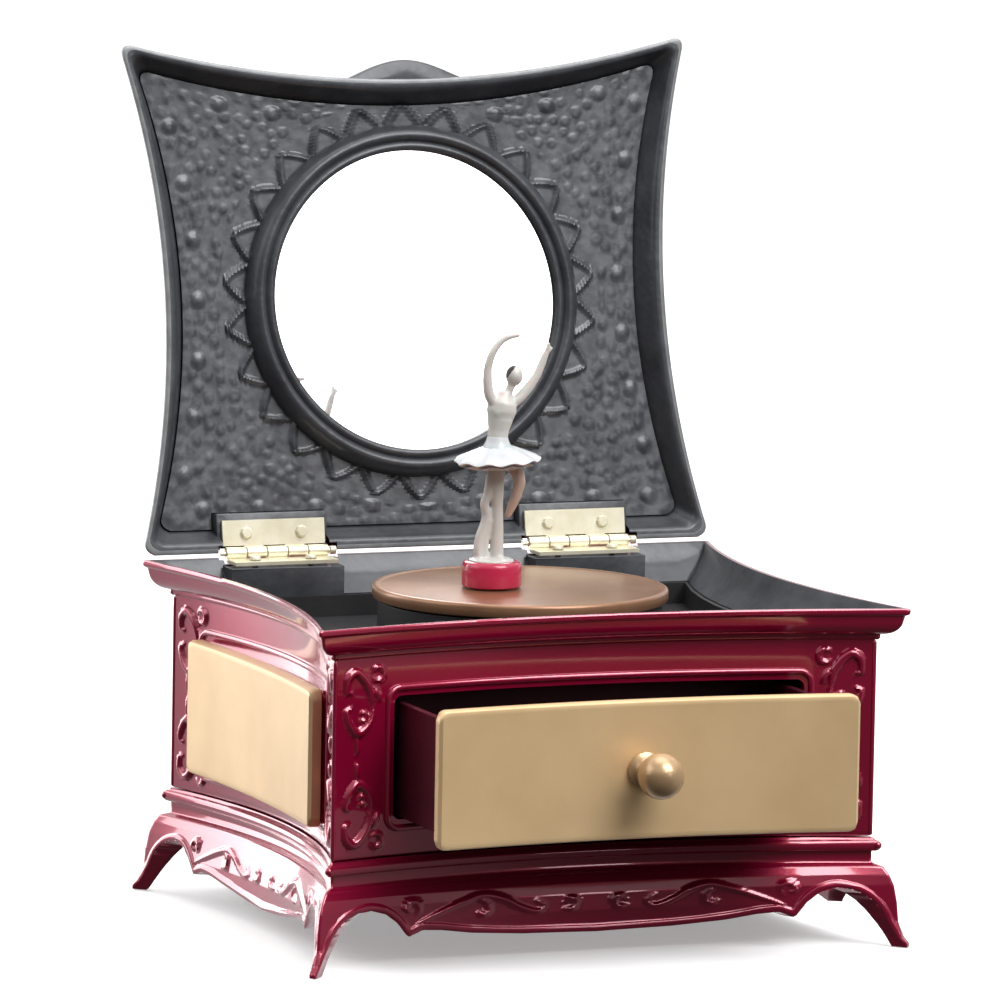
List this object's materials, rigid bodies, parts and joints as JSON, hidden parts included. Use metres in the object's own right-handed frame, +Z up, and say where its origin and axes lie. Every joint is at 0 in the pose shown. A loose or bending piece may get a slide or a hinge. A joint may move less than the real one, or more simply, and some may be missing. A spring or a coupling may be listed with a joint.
{
  "type": "ballerina jewellery box",
  "caption": "Bow-sided musical jewellery chest on cabriole feet with a hinged mirror lid, one drawer and a magnet-driven dancer turned by a wind-up movement.",
  "frame": {"origin": "on the floor, at the centre of the ground the box covers with its lid open and its drawer partly out, which is also the middle of the chest", "axes": "+Z up, -Y to the front where the drawer opens, +X to the right as seen from the front"},
  "size_m": [0.1508, 0.19, 0.2051],
  "materials": {
    "burgundy_gloss": "high-gloss candy burgundy metallic lacquer on moulded plastic, pearly highlights",
    "gold_satin": "satin champagne-gold metallic paint, fine flake",
    "bronze_satin": "satin bronze metallic paint with a paler worn edge",
    "graphite": "graphite grey moulded plastic, satin, fine mould texture",
    "lining_dark": "matt near-black moulded plastic",
    "tub_burgundy": "dark burgundy moulded plastic, satin",
    "mirror_glass": "silvered plastic mirror, clean",
    "pale_brass": "bright pale brass plate, pressed",
    "movement_brass": "machined brass, satin",
    "zinc": "die-cast zinc alloy, satin grey",
    "steel": "zinc-plated and spring steel",
    "white_nylon": "natural white nylon",
    "doll_ivory": "ivory painted vinyl, soft sheen",
    "tutu_white": "cool white pearl paint on moulded vinyl",
    "base_red": "glossy raspberry red moulded plastic",
    "ferrite": "dark sintered ferrite magnet"
  },
  "bodies": {
    "chest": {"body_shell": "burgundy_gloss", "base_skirt": "burgundy_gloss", "side_panel_left": "gold_satin", "side_panel_right": "gold_satin", "stage_disc": "bronze_satin", "inner_tray": "graphite", "stage_ring": "graphite", "bottom_plate": "lining_dark", "drawer_shelf": "lining_dark", "drawer_guide_left": "lining_dark", "drawer_guide_right": "lining_dark", "compartment_wall": "lining_dark", "hinge_left_lower_leaf": "pale_brass", "hinge_left_pin": "pale_brass", "hinge_right_lower_leaf": "pale_brass", "hinge_right_pin": "pale_brass", "hinge_left_lower_screw_1": "pale_brass", "hinge_left_lower_screw_2": "pale_brass", "hinge_right_lower_screw_1": "pale_brass", "hinge_right_lower_screw_2": "pale_brass", "movement_bedplate": "zinc", "bearing_plate_inner": "zinc", "bearing_plate_middle": "zinc", "bearing_plate_outer": "zinc", "comb": "steel", "comb_screw_1": "steel", "comb_screw_2": "steel", "movement_screw_1": "steel", "movement_screw_2": "steel", "bottom_screw_1": "steel", "bottom_screw_2": "steel", "bottom_screw_3": "steel", "bottom_screw_4": "steel"},
    "lid": {"lid_shell": "burgundy_gloss", "lid_liner": "graphite", "mirror_bezel": "graphite", "mirror_glass": "mirror_glass", "hinge_left_upper_leaf": "pale_brass", "hinge_right_upper_leaf": "pale_brass", "hinge_left_upper_screw_1": "pale_brass", "hinge_left_upper_screw_2": "pale_brass", "hinge_right_upper_screw_1": "pale_brass", "hinge_right_upper_screw_2": "pale_brass"},
    "drawer": {"drawer_tub": "tub_burgundy", "drawer_front": "gold_satin", "drawer_knob": "bronze_satin", "knob_screw": "steel"},
    "drive": {"spring_barrel": "movement_brass", "drive_shaft": "steel", "magnet_arm": "white_nylon", "drive_magnet": "ferrite"},
    "dancer": {"dancer_base": "base_red", "dancer_magnet": "ferrite", "dancer_figure": "doll_ivory", "dancer_tutu": "tutu_white"},
    "cylinder": {"music_cylinder": "movement_brass"},
    "idler": {"idler_wheel": "movement_brass"},
    "fan": {"governor_fan": "steel"},
    "key": {"winding_arbor": "steel", "winding_key": "movement_brass"}
  },
  "joints": [
    {"name": "lid_hinge", "type": "hinge", "parent": "chest", "child": "lid", "pos_m": [0, 0.0616, 0.082], "axis": [1, 0, 0], "range_deg": [0, 36]},
    {"name": "drawer_slide", "type": "slide", "parent": "chest", "child": "drawer", "axis": [0, -1, 0], "range_m": [-0.0265, 0.0055]},
    {"name": "barrel_spin", "type": "hinge", "parent": "chest", "child": "drive", "pos_m": [0, 0.012, 0.031], "axis": [0, 0, 1], "continuous": true},
    {"name": "dancer_lift", "type": "slide", "parent": "drive", "child": "dancer", "axis": [0, 0, 1], "range_m": [0, 0.006]},
    {"name": "cylinder_spin", "type": "hinge", "parent": "chest", "child": "cylinder", "pos_m": [0.026, 0.012, 0.0394], "axis": [1, 0, 0], "continuous": true},
    {"name": "idler_spin", "type": "hinge", "parent": "chest", "child": "idler", "pos_m": [0.042, 0.01995, 0.04363], "axis": [1, 0, 0], "continuous": true},
    {"name": "fan_spin", "type": "hinge", "parent": "chest", "child": "fan", "pos_m": [0.044, 0.02241, 0.05039], "axis": [1, 0, 0], "continuous": true},
    {"name": "key_turn", "type": "hinge", "parent": "chest", "child": "key", "pos_m": [0, 0.012, 0.012], "axis": [0, 0, 1], "continuous": true}
  ],
  "couplings": [
    {"joint": "cylinder_spin", "follows": "barrel_spin", "ratio": 3},
    {"joint": "idler_spin", "follows": "barrel_spin", "ratio": -9},
    {"joint": "fan_spin", "follows": "barrel_spin", "ratio": 27}
  ]
}
